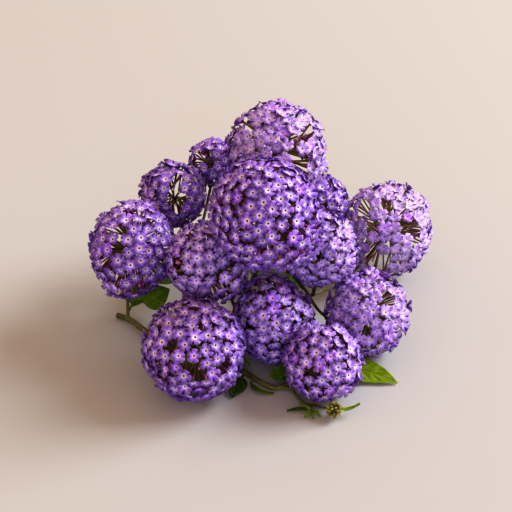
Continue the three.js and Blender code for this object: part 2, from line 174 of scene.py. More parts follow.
bpy.ops.mesh.primitive_plane_add(size=TABLE_SIZE, location=(0, 0, 0))
table = bpy.context.object
table.name = "table"
table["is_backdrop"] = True
# Painted board: a rolled matte coat, so the table is even and has no glare
board = new_material("matte_painted_board", {
    "Base Color": linear("#adacaa"), "Roughness": 0.85, "Specular IOR Level": 0.2})[0]
table.data.materials.append(board)
table.select_set(False)
for lamp in [key_lamp, fill_lamp]:
    print(lamp.name, "at", [round(x / MM) for x in lamp.location], "mm")

# %% [markdown]
# Petals are thin, soft and slightly velvety. Their colour runs outwards from the throat: a dark hole, which
# is painted shade down the throat, a cream ring, a pinkish white star that reaches along the middle of each
# lobe, violet, and a lighter rim that is a painted highlight along the lobes' edges. A painted picture could
# carry this, but a colour ramp stays sharp from near. It reads the floret's own UV map, in which the middle
# of the floret is 0 and its rim about 1. Each floret also carries one number, its tone, which makes some
# deeper or pinker than others. Each head also has its painted light: a share by which its petals and tubes
# are made paler, to stand in for the light that falls on that head.

# %% Petal finish
PETAL_MAP = "petal_plan"
TONE = "tone"
# Painted light: each head's own share by which its petals and tubes are made paler, standing in for the
# light that falls on it
PAINTED_LIGHT = "paleness"
LOBES = 5
VEINS_PER_LOBE, VEIN_STRENGTH = 7, 0.2
STAR_START, STAR_REACH = 0.19, 0.16


def plan_of(tree):
    """The place on the floret's UV map, and its distance from the middle."""
    place = add_node(tree, "UVMap", uv_map=PETAL_MAP)
    return place, add_node(tree, "VectorMath", {0: place}, out="Value", operation="LENGTH")


# Petal tissue: cells hold a violet sap, and their domed surface scatters light like fine velvet
petal, tree, shader = new_material("violet_petal_tissue", {
    "Roughness": 0.5, "Specular IOR Level": 0.3, "Sheen Weight": 0.2, "Sheen Roughness": 0.4,
    "Sheen Tint": linear("#d9c4ff"), "Subsurface Weight": 0.5, "Subsurface Radius": (1.0, 0.6, 1.3),
    "Subsurface Scale": 0.4 * MM})
place, distance = plan_of(tree)
split = add_node(tree, "SeparateXYZ", {0: place}).node.outputs
angle = add_node(tree, "Math", {0: split["Y"], 1: split["X"]}, operation="ARCTAN2")
fives = add_node(tree, "Math", {0: angle, 1: LOBES}, operation="MULTIPLY")
lobe_wave = add_node(tree, "Math", {0: fives}, operation="SINE")
veins = add_node(tree, "Math", {0: angle, 1: VEINS_PER_LOBE * LOBES}, operation="MULTIPLY")
vein_wave = add_node(tree, "Math", {0: veins}, operation="SINE")
wave = add_node(tree, "Math", {0: vein_wave, 1: VEIN_STRENGTH, 2: lobe_wave}, operation="MULTIPLY_ADD")
# Outside the cream ring the wave draws the ramp's pale colours out along the middle of each lobe
outside = add_node(tree, "Math", {0: distance, 1: STAR_START}, operation="SUBTRACT", use_clamp=True)
pull = add_node(tree, "Math", {0: outside, 1: -STAR_REACH}, operation="MULTIPLY")
reach = add_node(tree, "Math", {0: wave, 1: pull, 2: distance}, operation="MULTIPLY_ADD")
# The first two stops paint the shade down the throat as a dark hole; the last, lighter stop is a painted
# highlight along the lobes' rims
petal_colour = add_node(tree, "ValToRGB", {"Fac": reach}, stops=[
    (0.0, "#221205"), (0.115, "#452a10"), (0.145, "#e3bd7a"), (0.175, "#f8eedc"), (0.215, "#f0e6f8"),
    (0.29, "#ceb6ee"), (0.4, "#ae90e0"), (0.62, "#8e62cc"), (0.88, "#7e4ebc"), (1.0, "#a88cd8")])
# One floret in seven is pinker. A colour mix has its colours at inputs 6 and 7, its result at output 2
tone = add_node(tree, "Attribute", out="Fac", attribute_name=TONE)
pinker = add_node(tree, "MapRange", {"Value": tone, "From Min": 0.86, "From Max": 1.06})
# Painted light: the head's share mixes the petals towards a pale lavender
pale = add_node(tree, "Attribute", out="Fac", attribute_name=PAINTED_LIGHT)
paler = add_node(tree, "Mix", {0: pale, 6: petal_colour, 7: linear("#d6bcff")}, out=2, data_type="RGBA")
tinted = add_node(tree, "Mix", {0: pinker, 6: paler, 7: linear("#c684de")}, out=2,
                  data_type="RGBA", blend_type="MULTIPLY")
depth = add_node(tree, "MapRange", {"Value": tone, "To Min": 0.78, "To Max": 1.12})
shaded = add_node(tree, "HueSaturation", {"Value": depth, "Color": tinted})
tree.links.new(shaded, shader.inputs["Base Color"])

# The underside is paler and turns crimson towards the tube
underside, tree, shader = new_material("pale_petal_underside", {
    "Roughness": 0.6, "Specular IOR Level": 0.2})
distance = plan_of(tree)[1]
under_colour = add_node(tree, "ValToRGB", {"Fac": distance}, stops=[
    (0.1, "#7c2860"), (0.3, "#84469a"), (0.55, "#7c4eaa"), (1.0, "#8a62b8")])
tree.links.new(under_colour, shader.inputs["Base Color"])
print("finishes:", petal.name, underside.name)

# %% [markdown]
# Each floret stands on a slender tube. Its foot is pale olive, its middle brown, and its top turns crimson
# where it widens into the petals. One plain colour would lose this, so the colour runs along the tube's UV
# map, from 0 at the foot to 1 at the top. That map is named like the petals' map, because a join keeps maps
# by name.

# %% Tube and bud finishes
def along_tube(name, stops, roughness):
    """A finish whose colour runs along the tube's length."""
    material, tree, shader = new_material(name, {"Roughness": roughness, "Specular IOR Level": 0.2})
    place = add_node(tree, "UVMap", uv_map=PETAL_MAP)
    height = add_node(tree, "SeparateXYZ", {0: place}, out="Y")
    run = add_node(tree, "ValToRGB", {"Fac": height}, stops=stops)
    tone = add_node(tree, "Attribute", out="Fac", attribute_name=TONE)
    light = add_node(tree, "MapRange", {"Value": tone, "To Min": 0.7, "To Max": 1.5})
    shaded = add_node(tree, "HueSaturation", {"Value": light, "Color": run})
    # Painted light: a head's share mixes the tube towards a pale olive
    pale = add_node(tree, "Attribute", out="Fac", attribute_name=PAINTED_LIGHT)
    paler = add_node(tree, "Mix", {0: pale, 6: shaded, 7: linear("#b09c6c")}, out=2, data_type="RGBA")
    tree.links.new(paler, shader.inputs["Base Color"])
    return material


# Flower tube: thin waxy tissue, olive below and stained with red sap above
tube_finish = along_tube("maroon_flower_tube", [
    (0.0, "#a09a60"), (0.3, "#8a804c"), (0.55, "#72583e"), (0.78, "#702c48"), (0.9, "#983c74"),
    (1.0, "#c070b0")], 0.5)
# Closed bud: folded petals, deep magenta with a paler tip
bud_finish = along_tube("magenta_closed_bud", [
    (0.0, "#6e2458"), (0.5, "#8c2a74"), (1.0, "#b464a4")], 0.45)
print("finishes:", tube_finish.name, bud_finish.name)

# %% [markdown]
# A floret is a shallow cup of five lobes over a narrow throat. It could be cut out of a flat disc, but then
# it would have no throat and no underside. So circles are stacked like the hoops of a basket and bridged:
# down in the throat, at its rim, halfway out, round the edge, and back underneath to the tube. Then the
# edge is pulled into five lobes: deep, low notches between them, a slight dent in each lobe's tip, and
# sides that are turned towards the notches until only narrow slits are left.

# %% Floret
FLORET_RADIUS = 3.3
CUP = 1.15
LIMB_FLOOR = -0.2
HOOPS = {  # corners, radius and height of each hoop, in mm
    "throat": (5, 0.24, -0.75), "rim": (5, 0.42, 0.02), "middle": (10, 1.4, 0.38),
    "edge": (30, FLORET_RADIUS, CUP), "under": (5, 1.0, LIMB_FLOOR), "collar": (5, 0.42, -0.6),
    "neck": (5, 0.36, -1.5)}
WALL_FINISHES = [0, 0, 0, 1, 1, 2]  # from each hoop to the next: 0 is petal, 1 its underside and 2 tube
LOBE_TURN = 360 / LOBES
SIDE_FROM, SIDE_TO = 22, 26
EDGE_PULLS = [  # from and to how many degrees off a lobe's middle, share of the radius left, and rise in mm
    (34, 38, 0.44, -0.72), (SIDE_FROM, SIDE_TO, 0.92, -0.12), (-2, 2, 0.95, 0.1)]
SIDE_TURN, SIDE_RADIUS = 5, 2.5


def pick(piece, test):
    """Selects the corners of the edited mesh that pass a test, and no others."""
    mesh = bmesh.from_edit_mesh(piece.data)
    bpy.ops.mesh.select_all(action="DESELECT")
    for corner in mesh.verts:
        corner.select = bool(test(corner.co))
    mesh.select_flush(True)
    bmesh.update_edit_mesh(piece.data)


SAME_HEIGHT = 0.004


def at_height(*heights):
    """A test for corners at one of these heights, in mm."""
    return lambda co: any(abs(co.z / MM - height) < SAME_HEIGHT for height in heights)


def start_piece(name, finishes):
    """An empty mesh with its finishes, open for editing."""
    piece = bpy.data.objects.new(name, bpy.data.meshes.new(name))
    bpy.context.collection.objects.link(piece)
    for finish in finishes:
        piece.data.materials.append(finish)
    bpy.context.view_layer.objects.active = piece
    piece.select_set(True)
    bpy.ops.object.mode_set(mode="EDIT")
    return piece


def add_hoop(hoop):
    """A flat ring of edges, all of it selected."""
    corners, radius, height = hoop
    bpy.ops.mesh.primitive_circle_add(vertices=corners, radius=radius * MM, location=(0, 0, height * MM))


def bridge(piece, lower, upper, finish):
    """Closes the wall between two hoops and gives it a finish."""
    pick(piece, at_height(lower[2], upper[2]))
    bpy.ops.mesh.bridge_edge_loops()
    piece.active_material_index = finish
    bpy.ops.object.material_slot_assign()


def close_hoop(piece, hoop, finish):
    """Closes a hoop with one face."""
    pick(piece, at_height(hoop[2]))
    bpy.ops.mesh.edge_face_add()
    piece.active_material_index = finish
    bpy.ops.object.material_slot_assign()


def finish_template(piece, uv_of):
    """Turns the faces outwards, leaves edit mode and writes the UV map from each corner's place."""
    bpy.ops.mesh.select_all(action="SELECT")
    bpy.ops.mesh.tris_convert_to_quads()
    bpy.ops.mesh.normals_make_consistent(inside=False)
    bpy.ops.object.mode_set(mode="OBJECT")
    bpy.ops.object.shade_smooth()
    plan = piece.data.uv_layers.new(name=PETAL_MAP)
    for loop in piece.data.loops:
        plan.data[loop.index].uv = uv_of(piece.data.vertices[loop.vertex_index].co)
    piece.data.attributes.new(TONE, "FLOAT", "POINT")
    piece.select_set(False)
    return piece


def lobe_angle(co):
    """The angle in degrees off the nearest lobe's middle, and which lobe it is. Lobe 0 lies along +Y."""
    turned = math.degrees(math.atan2(-co.x, co.y)) % 360
    nearest = round(turned / LOBE_TURN)
    return turned - LOBE_TURN * nearest, nearest % LOBES


def on_limb(co, least_radius):
    """True for a corner of the lobes that is farther out than a radius in mm."""
    return co.z > LIMB_FLOOR * MM and co.xy.length > least_radius * MM


floret = start_piece("floret", [petal, underside, tube_finish])
hoops = list(HOOPS.values())
for hoop in hoops:
    add_hoop(hoop)
for lower, upper, finish in zip(hoops, hoops[1:], WALL_FINISHES):
    bridge(floret, lower, upper, finish)
close_hoop(floret, HOOPS["throat"], WALL_FINISHES[0])
close_hoop(floret, HOOPS["neck"], WALL_FINISHES[-1])
# The five-cornered hoops start with a corner at +Y, a lobe's middle, so they are turned to the notches
pick(floret, lambda co: not at_height(HOOPS["middle"][2], CUP)(co))
bpy.ops.transform.rotate(value=math.radians(LOBE_TURN / 2), orient_axis="Z", center_override=(0, 0, 0))
for low, high, share, rise in EDGE_PULLS:
    pick(floret, lambda co: at_height(CUP)(co) and low < abs(lobe_angle(co)[0]) < high)
    bpy.ops.transform.resize(value=(share, share, 1), center_override=(0, 0, 0))
    bpy.ops.transform.translate(value=(0, 0, rise * MM))
for sign in [1, -1]:
    pick(floret, lambda co: on_limb(co, SIDE_RADIUS) and SIDE_FROM < sign * lobe_angle(co)[0] < SIDE_TO)
    bpy.ops.transform.rotate(value=-sign * math.radians(SIDE_TURN), orient_axis="Z",
                             center_override=(0, 0, 0))
finish_template(floret, lambda co: (-co.x / (FLORET_RADIUS * MM), co.y / (FLORET_RADIUS * MM)))
print("floret:", len(floret.data.polygons), "faces,", [round(x / MM, 2) for x in floret.dimensions], "mm")

# %% [markdown]
# No two florets bend their lobes alike. Noise on every corner would crumple the petals, so six kinds are
# made from the first floret, each with its lobes lifted or dropped by up to 0.8 mm. The lamp then catches
# every lobe at its own angle.

# %% Six kinds of floret
LOBE_LIFTS = [  # how far each lobe is bent up or down, in mm, in each kind of floret
    (0.3, -0.4, 0.1, -0.2, 0.4), (-0.5, 0.2, 0.5, -0.1, -0.3), (0.1, 0.5, -0.4, 0.3, -0.5),
    (-0.1, -0.5, 0.3, 0.5, 0.1), (0.5, 0.3, 0.2, 0.4, 0.6), (-0.5, -0.8, -0.4, 0.0, -0.2)]
BENDS = [(1.2, 0.25), (1.8, 0.75)]  # beyond this radius in mm, this share of the lift
BEND_ANGLE = 30


def bent_copy(number, lifts):
    """A copy of the floret with each lobe lifted by its own amount."""
    kind = bpy.data.objects.new("floret_kind_%d" % number, floret.data.copy())
    bpy.context.collection.objects.link(kind)
    bpy.context.view_layer.objects.active = kind
    kind.select_set(True)
    bpy.ops.object.mode_set(mode="EDIT")
    for lobe, lift in enumerate(lifts):
        for least_radius, share in BENDS:
            pick(kind, lambda co: on_limb(co, least_radius) and lobe_angle(co)[1] == lobe
                 and abs(lobe_angle(co)[0]) < BEND_ANGLE)
            bpy.ops.transform.translate(value=(0, 0, lift * share * MM))
    bpy.ops.object.mode_set(mode="OBJECT")
    kind.select_set(False)
    return kind


floret_kinds = [bent_copy(number, lifts) for number, lifts in enumerate(LOBE_LIFTS)]
print("kinds of floret:", len(floret_kinds))

# %% [markdown]
# The tube widens towards its top. It could be spun from an outline, but the hoops are there already. It is
# made one millimetre high and stretched to its length later. A few flowers are still closed buds, a slim
# drop on the same tube.

# %% Tube and bud
TUBE_HOOPS = [  # corners, radius in mm and height as a share of the length
    (5, 0.22, 0.0), (5, 0.33, 0.08), (5, 0.32, 0.4), (5, 0.36, 0.75), (5, 0.44, 1.0)]
BUD_HOOPS = [(6, 0.34, -0.8), (6, 0.42, 0.0), (6, 0.78, 0.9), (6, 0.7, 1.7), (6, 0.3, 2.5)]


def stack(name, finish, hoops):
    """A closed stack of hoops, all with one finish, whose UV map runs from 0 at the foot to 1 at the top."""
    piece = start_piece(name, [finish])
    for hoop in hoops:
        add_hoop(hoop)
    for lower, upper in zip(hoops, hoops[1:]):
        bridge(piece, lower, upper, 0)
    close_hoop(piece, hoops[0], 0)
    close_hoop(piece, hoops[-1], 0)
    foot, top = hoops[0][2], hoops[-1][2]
    return finish_template(piece, lambda co: (0.5, (co.z / MM - foot) / (top - foot)))


tube = stack("tube", tube_finish, TUBE_HOOPS)
closed_bud = stack("closed_bud", bud_finish, BUD_HOOPS)
print("tube:", len(tube.data.polygons), "faces, bud:", len(closed_bud.data.polygons), "faces")

# %% [markdown]
# Every head is a ball. From its hub short olive rays spread like the ribs of an umbrella, each ray carries
# a spray of tubes, and each tube ends in a floret on the ball's surface. Without tubes the gaps would show
# that nothing carries the florets.

# %% The heads' places
Head = namedtuple("Head", "centre radius faces pitch left_out paleness")
# The last column is painted light: how much paler each head's petals and tubes are made, for the light that
# falls on it
HEADS = {  # middle, radius, way it faces and floret spacing, in mm; share left out behind; paleness
    "top": Head((3, 19, 68), 21.5, (0, -0.45, 0.9), 5.5, 0.05, 0.08),
    "top_back": Head((9, 68, 66), 21, (0.15, 0.4, 0.9), 5.3, 0.5, 0.5),
    "front_left": Head((-24, -3.5, 19.6), 20.5, (0, -0.75, 0.66), 5.7, 0.25, 0.14),
    "front_middle": Head((7, 17, 17), 17.5, (-0.75, 0.2, 0.63), 5.6, 0.1, 0.34),
    "front_right": Head((26, -5.5, 15.4), 16, (0, -0.84, 0.54), 5.6, 0.2, 0.24),
    "right": Head((45, 21.5, 17.4), 18, (0.84, -0.1, 0.53), 5.5, 0.5, 0.44),
    "back_right": Head((58, 78, 20.8), 21.5, (0.55, 0.35, 0.76), 5.5, 0.7, 0.74),
    "middle_right": Head((26, 32, 42), 16, (0.1, -0.1, 0.99), 5.5, 0.1, 0.44),
    "middle_left": Head((-20, 26, 40), 16.5, (-0.5, -0.2, 0.84), 5.6, 0.05, 0.34),
    "left": Head((-50, 38, 38), 19, (0.15, -0.1, 0.98), 5.5, 0.5, 0.08),
    "back_left": Head((-35, 66, 46), 14.5, (-0.35, 0.3, 0.89), 5.2, 0.3, 0.12),
    "back": Head((-18, 86, 50), 12, (0.15, 0.6, 0.78), 5.2, 0.5, 0.1),
    "back_middle": Head((28, 80, 34), 13, (0.1, 0.7, 0.71), 5.3, 0.3, 0.08),
}
print("heads:", len(HEADS))

# %% [markdown]
# No head is evenly full, and none is a perfect ball. In thin places the tubes show between the florets, and
# elsewhere a head swells or is pressed in. A painted mask could say where, but round spots can be read and
# moved. Each is written as the camera sees the head: how far across and up from its middle, and how wide,
# as shares of its radius.

# %% Thin places and swells
THIN_PLACES = {  # across, up, width, and the share of florets that stand there
    "top_back": [(-0.6, 0.45, 0.15, 0.3), (0.62, 0.38, 0.18, 0.35), (0.29, 0.22, 0.14, 0.4),
                 (0.07, 0.3, 0.12, 0.5), (0.42, -0.28, 0.24, 0.15)],
    "front_left": [(0.04, 0.36, 0.12, 0.5), (0.4, 0.19, 0.14, 0.6), (-0.45, 0.2, 0.16, 0.5),
                   (-0.11, -0.17, 0.12, 0.3), (0.04, -0.4, 0.14, 0.5), (0.57, -0.3, 0.15, 0.5)],
    "front_right": [(-0.1, -0.05, 0.3, 0.75), (-0.4, -0.3, 0.15, 0.3)],
    "right": [(0.45, 0.1, 0.3, 0.6), (-0.05, -0.4, 0.2, 0.6), (0.3, -0.3, 0.15, 0.4)],
    "back_right": [(0.46, 0.06, 0.2, 0.35), (0.46, -0.32, 0.18, 0.3), (0.28, -0.62, 0.18, 0.3),
                   (-0.6, 0.45, 0.15, 0.4), (-0.16, 0.6, 0.12, 0.4), (-0.33, -0.57, 0.22, 0.0),
                   (-0.34, 0.2, 0.16, 0.5)],
    "left": [(-0.2, 0.28, 0.2, 0.2), (-0.3, 0.05, 0.18, 0.3), (-0.4, -0.25, 0.15, 0.4),
             (-0.72, 0.3, 0.12, 0.4), (-0.74, -0.1, 0.12, 0.4), (-0.6, -0.45, 0.12, 0.5),
             (0.1, 0.75, 0.12, 0.4), (0.42, 0.5, 0.12, 0.5)],
    "back_left": [(0.05, 0.4, 0.35, 0.4), (0.1, -0.2, 0.35, 0.6)],
    "back": [(-0.45, 0.1, 0.4, 0.25)],
}
SWELLS = {  # across, up, width, and how far the head stands out, in mm
    "top": [(0.5, -0.8, 0.6, 3.0), (-0.3, -0.95, 0.4, 1.5), (0.75, -0.35, 0.5, 2.5)],
    "top_back": [(-0.95, 0.4, 0.4, 1.5), (-0.15, 0.95, 0.5, 1.0)],
    "front_middle": [(-0.2, 0.95, 0.7, 3.0)],
    "left": [(0.1, 0.95, 0.5, 2.0), (-0.2, -0.95, 0.5, 2.5)],
    "middle_left": [(0.7, -0.6, 0.6, 3.0)],
    "middle_right": [(-0.6, 0.55, 0.7, 3.5)],
    "back_right": [(0.95, 0.0, 0.5, -2.0)],
}
TO_THE_RIGHT = Vector((1, 0, 0))
UPWARDS = Vector((0, math.sin(CAMERA_ELEVATION), math.cos(CAMERA_ELEVATION)))


def off_spot(direction, x, y):
    """How far a direction lies from the middle of a round spot, as the camera sees it."""
    return math.hypot(direction.dot(TO_THE_RIGHT) - x, direction.dot(UPWARDS) - y)


def share_standing(name, direction):
    """The share of florets that stand in this direction: fewer in thin places, and fewer on the far side."""
    near = direction.dot(towards_camera) > 0
    share_behind = 1 - HEADS[name].left_out
    for x, y, reach, share in THIN_PLACES.get(name, []):
        if off_spot(direction, x, y) < reach:
            return share if near else share_behind ** 2
    return 1 if near else share_behind


def swell(name, direction):
    """How far the head stands out in this direction, in mm."""
    return sum(rise * max(0, 1 - (off_spot(direction, x, y) / reach) ** 2)
               for x, y, reach, rise in SWELLS.get(name, []))


print("thin places:", sum(len(places) for places in THIN_PLACES.values()))

# %% [markdown]
# The florets start on a spiral and push each other apart until they are evenly spread. Random places would
# overlap, and rings would look made by hand. Where two heads press against each other or a head rests on
# the table, the florets stand lower.

# %% An even spread
PACKING = math.sin(math.pi / 3)  # the area that one floret takes in the closest spread, for a pitch of 1
PUSHES = 60
PUSH = 0.015
SIDEWAYS = (0.3, 0.9, 0.2)  # no head faces this way
TABLE_CLEARANCE = 0.2
PRESSED_REACH = 1.5
LEAST_FACING = 0.05
SEED = 11
chance = random.Random(SEED)


def even_directions(axis, count):
    """Directions spread evenly over a ball, with one place kept free against the axis for the stalk."""
    axis = np.array(Vector(axis).normalized())
    across = np.cross(axis, SIDEWAYS)
    across /= np.linalg.norm(across)
    along = np.cross(axis, across)
    step = np.arange(count + 1)
    rise = 1 - (2 * step + 1) / (count + 1)
    rise[count] = -1
    reach = np.sqrt(1 - rise ** 2)
    turn = step * math.pi * (3 - math.sqrt(5))
    circle = np.outer(reach * np.cos(turn), across), np.outer(reach * np.sin(turn), along)
    spread = np.outer(rise, axis) + circle[0] + circle[1]
    spacing = math.sqrt(4 * math.pi / (count + 1) / PACKING)
    for _ in range(PUSHES):
        apart = spread[:, None] - spread[None]
        distance = np.linalg.norm(apart, axis=2) + np.eye(count + 1)
        strength = (spacing / distance) ** 4
        push = PUSH * (apart * strength[:, :, None] / distance[:, :, None] * spacing).sum(axis=1)
        push[count] = 0
        spread += push
        spread /= np.linalg.norm(spread, axis=1)[:, None]
    return [Vector(d) for d in spread[:count]]


def limits_of(name):
    """The planes that a head may not cross: the table, and the middle towards each head it presses on."""
    centre, radius = Vector(HEADS[name].centre), HEADS[name].radius
    planes = [(Vector((0, 0, -1)), centre.z - TABLE_CLEARANCE, FLORET_RADIUS)]
    for other, head in HEADS.items():
        apart = Vector(head.centre) - centre
        if other == name or apart.length > radius + head.radius:
            continue
        middle = (apart.length_squared + radius ** 2 - head.radius ** 2) / (2 * apart.length)
        planes.append((apart.normalized(), middle, PRESSED_REACH))
    return planes


def height_under(plane, direction):
    """How high a floret can stand in a direction without reaching through a plane."""
    towards, distance, reach = plane
    facing = direction.dot(towards)
    if facing < LEAST_FACING:
        return math.inf
    return (distance - reach * math.sqrt(1 - facing ** 2)) / facing


def some_way(amount):
    """A small random vector."""
    return Vector([chance.gauss(0, amount) for _ in range(3)])


print("planes that limit each head:", [len(limits_of(name)) for name in HEADS])

# %% [markdown]
# Copies are made with their own meshes, placed by one matrix each and joined into one piece per head.
# Copies that share one mesh would be lighter, but no floret could then have a tone of its own. The tone is
# written into each copy's mesh before the join, so that it stays with its floret.

# %% Copying and joining
def write_number(piece, name, number):
    """Gives every corner of a piece the same number, for its finish to read."""
    if name not in piece.data.attributes:
        piece.data.attributes.new(name, "FLOAT", "POINT")
    piece.data.attributes[name].data.foreach_set("value", [number] * len(piece.data.vertices))


def placed_copy(template, place, tone=0.5):
    """A copy of a template with its own mesh, at its place."""
    copy = bpy.data.objects.new(template.name, template.data.copy())
    bpy.context.collection.objects.link(copy)
    copy.matrix_world = place
    if TONE in copy.data.attributes:
        write_number(copy, TONE, tone)
    return copy


def joined(name, copies):
    """Joins the copies into one piece whose object sits at the origin."""
    bpy.ops.object.select_all(action="DESELECT")
    for copy in copies:
        copy.select_set(True)
    bpy.context.view_layer.objects.active = copies[0]
    bpy.ops.object.join()
    bpy.ops.object.transform_apply(location=True, rotation=True, scale=True)
    piece = bpy.context.object
    piece.name = name
    piece.data.name = name
    piece.select_set(False)
    return piece


def pointing(direction, at, size=(1, 1, 1), turn=0.0):
    """The matrix that stands a template up along a direction at a place in mm."""
    upright = Vector(direction).to_track_quat("Z", "Y").to_matrix().to_4x4()
    return (Matrix.Translation(Vector(at) * MM) @ upright @ Matrix.Rotation(turn, 4, "Z")
            @ Matrix.Diagonal((*size, 1)))


def count_triangles(piece):
    """How many triangles the piece's faces make."""
    return sum(len(face.vertices) - 2 for face in piece.data.polygons)


# %% [markdown]
# One head at a time: rays first, then a tube and a floret in each direction. A particle system could
# scatter the florets, but it would give them no tubes. Here each floret leans, turns and stands in its own
# way, and its tube starts at the ray that points towards it. In a thin place most of the missing florets
# leave a bare tube.

# %% Flower heads
RAYS = 14
HUB_SHARE, RAY_SHARE = 0.1, 0.27  # how far out hub and rays' ends lie, as shares of the radius
RAY_STRAY, FLORET_STRAY, LEAN = 0.06, 0.018, 0.14  # as shares of a direction's length
FOOT_STRAY, FOOT_PULL = 0.35, 0.35
MEAN_SINK, SINK_SPREAD = -0.3, 0.45
DENTS, DENTS_ACROSS = 1.6, 2
LEAST_HEIGHT = 0.88
TABLE_GAP, EDGE_DROP, LOBE_DROP = 0.1, 1.1, 1.8
FLORET_SIZES = (0.83, 0.99)
NECK_HEIGHT = 1.4
BUD_CHANCE, BUD_SINK = 0.012, 1.5
STUB_CHANCE, STUB_FACING, STUB_HEIGHTS = 0.75, 0.2, (0.65, 0.95)
rays = []


def lowest_seat(way):
    """How high in mm a floret that leans this way has to stand to clear the table."""
    return TABLE_GAP + FLORET_RADIUS * EDGE_DROP * math.sqrt(1 - way.z ** 2) + LOBE_DROP * max(0, -way.z)


def tube_to(top, direction, centre, ray_ends):
    """A tube up to a floret, from the near end of a ray that points the floret's way."""
    foot = min(ray_ends, key=lambda end: (top - end).length - FOOT_PULL * (end - centre).dot(direction))
    foot = foot + some_way(FOOT_STRAY)
    place = pointing(top - foot, foot, (1, 1, (top - foot).length))
    return placed_copy(tube, place, chance.random())


def dress_head(name):
    """The florets, buds and tubes of one head in one piece. Its rays are kept for the stem."""
    head = HEADS[name]
    centre = Vector(head.centre)
    count = round(4 * math.pi * head.radius ** 2 / (head.pitch ** 2 * PACKING)) - 1
    ball_height = math.sqrt(head.radius ** 2 - FLORET_RADIUS ** 2) - CUP
    limits = limits_of(name)
    hub = centre - Vector(head.faces).normalized() * head.radius * HUB_SHARE
    ray_ends = [centre + head.radius * RAY_SHARE * (direction + some_way(RAY_STRAY))
                for direction in even_directions(head.faces, RAYS)]
    rays.extend((hub, end) for end in ray_ends)
    copies = []
    for i, direction in enumerate(even_directions(head.faces, count)):
        direction = (direction + some_way(FLORET_STRAY)).normalized()
        skipped = chance.random() > share_standing(name, direction)
        seen = direction.dot(towards_camera) > STUB_FACING
        stub = skipped and seen and chance.random() < STUB_CHANCE
        free_height = ball_height + swell(name, direction)
        height = min([free_height] + [height_under(limit, direction) for limit in limits])
        if height < free_height * LEAST_HEIGHT or skipped and not stub:
            continue
        dent = max(0, noise.noise(DENTS_ACROSS * direction + centre))
        height += min(0.0, chance.gauss(MEAN_SINK, SINK_SPREAD)) - DENTS * dent
        tone = chance.random()
        way = (direction + some_way(LEAN)).normalized()
        seat = centre + direction * height
        seat.z = max(seat.z, lowest_seat(way))
        if stub:
            top = centre + direction * height * chance.uniform(*STUB_HEIGHTS)
        elif chance.random() < BUD_CHANCE:
            top = seat - direction * BUD_SINK
            copies.append(placed_copy(closed_bud, pointing(way, top), tone))
        else:
            size = chance.uniform(*FLORET_SIZES)
            top = seat - way * NECK_HEIGHT
            place = pointing(way, seat, (size,) * 3, chance.uniform(0, math.tau))
            copies.append(placed_copy(floret_kinds[i % len(floret_kinds)], place, tone))
        copies.append(tube_to(top, direction, centre, ray_ends))
    piece = joined("florets_" + name, copies)
    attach(piece, "root")
    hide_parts("flower_head_" + name)
    # The head's painted light, read by the petal and tube finishes
    write_number(piece, PAINTED_LIGHT, head.paleness)
    print(name, "florets and tubes:", len(copies), "triangles:", count_triangles(piece))
    return piece


heads = [dress_head(name) for name in HEADS]
for template in [floret, closed_bud, *floret_kinds]:
    bpy.data.objects.remove(template)
print("heads in all:", sum(count_triangles(head) for head in heads), "triangles")

# %% [markdown]
# The stem, its branches and the heads' stalks grew as one piece. Rods that only run into each other would
# leave a sharp crease at every fork. So each one is drawn as a smooth curve through a few points, thicker
# at its foot than at its end, and all are melted together on a fine voxel grid, which rounds the forks as
# growth does. The plant lies on a narrow flat strip.

# %% Stem finish
# Young herb stem: olive green skin with a fine grain, flushed brown in patches, and a pale cut end
CUT_END = (-59.5, 41, 1.6)
CUT_OUTSIDE, CUT_INSIDE = 1.3 * MM, 0.9 * MM
PATCH_SIZE, GRAIN_SIZE = 5.556 * MM, 0.4545 * MM
stem_finish, tree, shader = new_material("olive_stem_skin", {
    "Roughness": 0.6, "Subsurface Weight": 0.2, "Subsurface Scale": 0.5 * MM})
place = add_node(tree, "TexCoord", out="Object")
patches = add_node(tree, "TexNoise", {"Vector": place, "Scale": 1 / PATCH_SIZE, "Detail": 4})
skin = add_node(tree, "ValToRGB", {"Fac": patches}, stops=[
    (0.3, "#352f15"), (0.45, "#504f23"), (0.6, "#686a32"), (0.75, "#5a4226")])
away = add_node(tree, "VectorMath", {0: place, 1: Vector(CUT_END) * MM}, out="Value", operation="DISTANCE")
on_cut = add_node(tree, "MapRange", {"Value": away, "From Min": CUT_OUTSIDE, "From Max": CUT_INSIDE})
cut = add_node(tree, "Mix", {0: on_cut, 6: skin, 7: linear("#b9ab78")}, out=2, data_type="RGBA")
tree.links.new(cut, shader.inputs["Base Color"])
grain = add_node(tree, "TexNoise", {"Vector": place, "Scale": 1 / GRAIN_SIZE, "Detail": 3})
relief = add_node(tree, "Bump", {"Height": grain, "Strength": 0.5, "Distance": 0.08 * MM})
tree.links.new(relief, shader.inputs["Normal"])
# Plant hair: short, stiff and colourless
hair_finish = new_material("pale_plant_hair", {"Base Color": linear("#c6c69a"), "Roughness": 0.45})[0]
print("finishes:", stem_finish.name, hair_finish.name)

